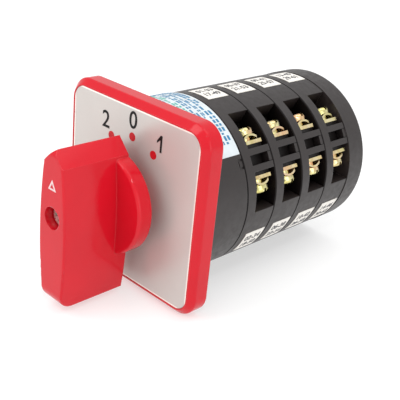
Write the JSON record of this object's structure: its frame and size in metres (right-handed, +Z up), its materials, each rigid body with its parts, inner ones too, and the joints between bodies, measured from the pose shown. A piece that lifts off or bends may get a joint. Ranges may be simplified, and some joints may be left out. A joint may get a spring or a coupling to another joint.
{
  "type": "manual transfer switch",
  "caption": "Panel-mounted rotary changeover switch: red pointer handle on a square front plate, round dark body of stacked contact stages with screw terminals in side pockets.",
  "frame": {"origin": "on the shaft axis, in the panel plane between the front plate and the body's flange", "axes": "+Y along the shaft, from the handle back into the body; +X to the right seen from the front, towards position 1; +Z up, towards position 0"},
  "size_m": [0.064, 0.1195, 0.064],
  "materials": {
    "red_plastic": "satin gloss",
    "legend_metal": "matt silver",
    "red_ink": "printed",
    "white_ink": "printed",
    "black_plastic": "moulded matt",
    "pale_plastic": "natural nylon",
    "steel": "zinc plated",
    "spring_steel": "bright",
    "brass": "passivated",
    "sticker_paper": "printed label",
    "label_paper": "printed label"
  },
  "bodies": {
    "switch_body": {"escutcheon_frame": "red_plastic", "legend_plate": "legend_metal", "position_dots": "red_ink", "shaft_bushing": "pale_plastic", "stop_plate": "steel", "detent_spring_right": "spring_steel", "detent_spring_left": "spring_steel", "mechanism_housing": "black_plastic", "rear_cover": "black_plastic", "tie_bolts": "steel", "tie_washers": "steel", "rating_sticker": "sticker_paper", "stage_labels": "label_paper", "terminal_screws": "brass", "clamp_washers": "brass", "stage_housing_1": "black_plastic", "terminals_1": "brass", "return_spring_1a": "spring_steel", "return_spring_1b": "spring_steel", "stage_housing_2": "black_plastic", "terminals_2": "brass", "return_spring_2a": "spring_steel", "return_spring_2b": "spring_steel", "stage_housing_3": "black_plastic", "terminals_3": "brass", "return_spring_3a": "spring_steel", "return_spring_3b": "spring_steel", "stage_housing_4": "black_plastic", "terminals_4": "brass", "return_spring_4a": "spring_steel", "return_spring_4b": "spring_steel"},
    "rotor": {"handle": "red_plastic", "pointer_mark": "white_ink", "handle_screw": "steel", "handle_lock_washer": "steel", "drive_shaft": "steel", "detent_star_wheel": "pale_plastic", "stop_arm": "steel", "cam_1": "pale_plastic", "cam_2": "pale_plastic", "cam_3": "pale_plastic", "cam_4": "pale_plastic"},
    "plunger_1a": {"plunger_1a": "pale_plastic", "bridge_contact_1a": "brass"},
    "plunger_1b": {"plunger_1b": "pale_plastic", "bridge_contact_1b": "brass"},
    "plunger_2a": {"plunger_2a": "pale_plastic", "bridge_contact_2a": "brass"},
    "plunger_2b": {"plunger_2b": "pale_plastic", "bridge_contact_2b": "brass"},
    "plunger_3a": {"plunger_3a": "pale_plastic", "bridge_contact_3a": "brass"},
    "plunger_3b": {"plunger_3b": "pale_plastic", "bridge_contact_3b": "brass"},
    "plunger_4a": {"plunger_4a": "pale_plastic", "bridge_contact_4a": "brass"},
    "plunger_4b": {"plunger_4b": "pale_plastic", "bridge_contact_4b": "brass"}
  },
  "joints": [
    {"name": "handle_turn", "type": "hinge", "parent": "switch_body", "child": "rotor", "pos_m": [0, 0, 0], "axis": [0, 1, 0], "range_deg": [-30, 30], "deforming": ["detent_spring_right", "detent_spring_left"]},
    {"name": "contact_slide_1a", "type": "slide", "parent": "switch_body", "child": "plunger_1a", "axis": [0.866, 0, 0.5], "range_m": [-0.00182, 0.00182], "deforming": ["return_spring_1a"]},
    {"name": "contact_slide_1b", "type": "slide", "parent": "switch_body", "child": "plunger_1b", "axis": [-0.866, 0, -0.5], "range_m": [-0.00182, 0.00182], "deforming": ["return_spring_1b"]},
    {"name": "contact_slide_2a", "type": "slide", "parent": "switch_body", "child": "plunger_2a", "axis": [0.866, 0, 0.5], "range_m": [-0.00182, 0.00182], "deforming": ["return_spring_2a"]},
    {"name": "contact_slide_2b", "type": "slide", "parent": "switch_body", "child": "plunger_2b", "axis": [-0.866, 0, -0.5], "range_m": [-0.00182, 0.00182], "deforming": ["return_spring_2b"]},
    {"name": "contact_slide_3a", "type": "slide", "parent": "switch_body", "child": "plunger_3a", "axis": [0.866, 0, 0.5], "range_m": [-0.00182, 0.00182], "deforming": ["return_spring_3a"]},
    {"name": "contact_slide_3b", "type": "slide", "parent": "switch_body", "child": "plunger_3b", "axis": [-0.866, 0, -0.5], "range_m": [-0.00182, 0.00182], "deforming": ["return_spring_3b"]},
    {"name": "contact_slide_4a", "type": "slide", "parent": "switch_body", "child": "plunger_4a", "axis": [0.866, 0, 0.5], "range_m": [-0.00182, 0.00182], "deforming": ["return_spring_4a"]},
    {"name": "contact_slide_4b", "type": "slide", "parent": "switch_body", "child": "plunger_4b", "axis": [-0.866, 0, -0.5], "range_m": [-0.00182, 0.00182], "deforming": ["return_spring_4b"]}
  ],
  "couplings": [
    {"joint": "contact_slide_1a", "follows": "handle_turn", "m_per_rad": 0.0034377},
    {"joint": "contact_slide_1b", "follows": "handle_turn", "m_per_rad": -0.0034377},
    {"joint": "contact_slide_2a", "follows": "handle_turn", "m_per_rad": 0.0034377},
    {"joint": "contact_slide_2b", "follows": "handle_turn", "m_per_rad": -0.0034377},
    {"joint": "contact_slide_3a", "follows": "handle_turn", "m_per_rad": 0.0034377},
    {"joint": "contact_slide_3b", "follows": "handle_turn", "m_per_rad": -0.0034377},
    {"joint": "contact_slide_4a", "follows": "handle_turn", "m_per_rad": 0.0034377},
    {"joint": "contact_slide_4b", "follows": "handle_turn", "m_per_rad": -0.0034377}
  ]
}
